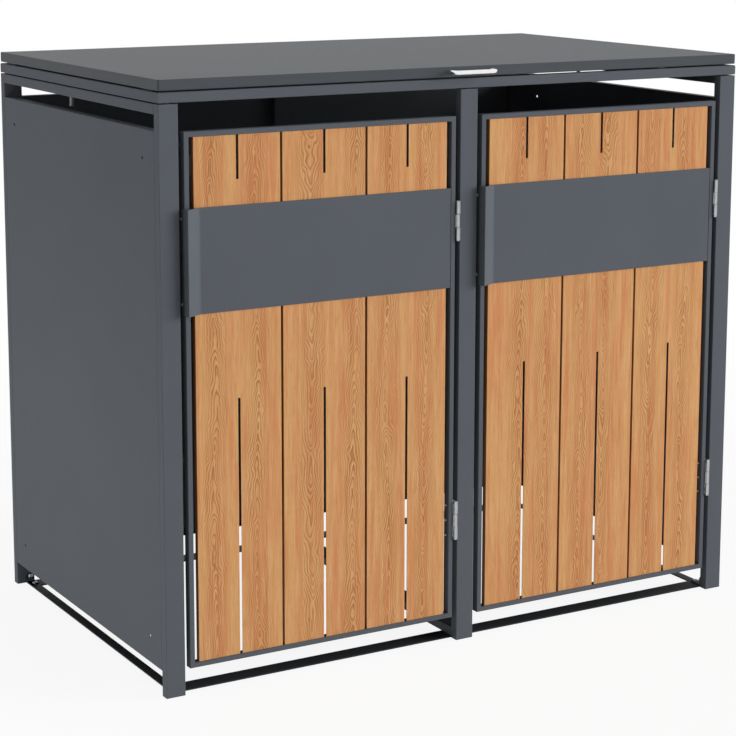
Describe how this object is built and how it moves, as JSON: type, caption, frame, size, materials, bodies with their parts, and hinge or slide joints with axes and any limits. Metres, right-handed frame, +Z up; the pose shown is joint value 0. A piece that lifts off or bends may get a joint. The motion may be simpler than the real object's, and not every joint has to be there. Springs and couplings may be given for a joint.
{
  "type": "wheelie bin store",
  "caption": "Steel-framed outdoor store for wheelie bins, with sheet sides and back, timber-boarded doors with folded steel grip bands, and a rear-hinged metal lid with a bow handle",
  "frame": {"origin": "on the ground, under the middle of the whole object's bounding box, lid handle and lid hinges included", "axes": "+Z up; +X from the left door to the right door, seen from the front; +Y from the front to the back"},
  "size_m": [1.36, 0.86, 1.194],
  "materials": {
    "frame_paint": "dark grey powder coat, satin",
    "panel_paint": "dark grey powder coat, satin",
    "lid_paint": "dark grey powder coat, satin",
    "board_wood": "oiled warm brown timber, fine straight grain",
    "hinge_steel": "zinc-plated, dull silver",
    "screw_steel": "zinc-plated, dull silver",
    "handle_chrome": "polished",
    "black_plastic": "moulded, matt",
    "black_rubber": "soft, matt"
  },
  "bodies": {
    "carcass": {"post_front_left": "frame_paint", "post_front_middle": "frame_paint", "post_front_right": "frame_paint", "post_back_left": "frame_paint", "post_back_middle": "frame_paint", "post_back_right": "frame_paint", "post_plugs": "black_plastic", "ring_washers": "black_plastic", "ring_front": "frame_paint", "ring_back": "frame_paint", "ring_left": "frame_paint", "ring_right": "frame_paint", "side_rail_left": "frame_paint", "side_rail_right": "frame_paint", "back_rail_left": "frame_paint", "back_rail_right": "frame_paint", "side_panel_left": "panel_paint", "side_panel_right": "panel_paint", "back_panel_left": "panel_paint", "back_panel_right": "panel_paint", "base_flat_front": "frame_paint", "base_flat_back": "frame_paint", "base_flat_left": "frame_paint", "base_flat_right": "frame_paint", "base_tube_middle": "frame_paint", "base_brackets": "frame_paint", "frame_screws": "screw_steel", "door_hinge_post_leaves": "hinge_steel", "door_hinge_pins": "hinge_steel", "lid_hinge_ring_leaves": "hinge_steel", "lid_hinge_pins": "hinge_steel", "door_stops": "frame_paint", "catch_magnets": "screw_steel", "lid_bumpers": "black_rubber"},
    "left_door": {"left_door_stile_left": "frame_paint", "left_door_stile_right": "frame_paint", "left_door_rails": "frame_paint", "left_door_board_left": "board_wood", "left_door_board_middle": "board_wood", "left_door_board_right": "board_wood", "left_door_battens": "frame_paint", "left_door_band": "panel_paint", "left_door_screws": "screw_steel", "left_door_hinge_leaves": "hinge_steel"},
    "right_door": {"right_door_stile_left": "frame_paint", "right_door_stile_right": "frame_paint", "right_door_rails": "frame_paint", "right_door_board_left": "board_wood", "right_door_board_middle": "board_wood", "right_door_board_right": "board_wood", "right_door_battens": "frame_paint", "right_door_band": "panel_paint", "right_door_screws": "screw_steel", "right_door_hinge_leaves": "hinge_steel"},
    "lid": {"lid_tray": "lid_paint", "lid_ribs": "frame_paint", "lid_handle": "handle_chrome", "lid_guide_pins": "hinge_steel", "lid_hinge_leaves": "hinge_steel", "lid_screws": "screw_steel"}
  },
  "joints": [
    {"name": "left_door_hinge", "type": "hinge", "parent": "carcass", "child": "left_door", "pos_m": [-0.0255, -0.401, 0.572], "axis": [0, 0, 1], "range_deg": [0, 150]},
    {"name": "right_door_hinge", "type": "hinge", "parent": "carcass", "child": "right_door", "pos_m": [0.6345, -0.401, 0.572], "axis": [0, 0, 1], "range_deg": [0, 170]},
    {"name": "lid_hinge", "type": "hinge", "parent": "carcass", "child": "lid", "pos_m": [0, 0.426, 1.1715], "axis": [-1, 0, 0], "range_deg": [0, 105]}
  ]
}
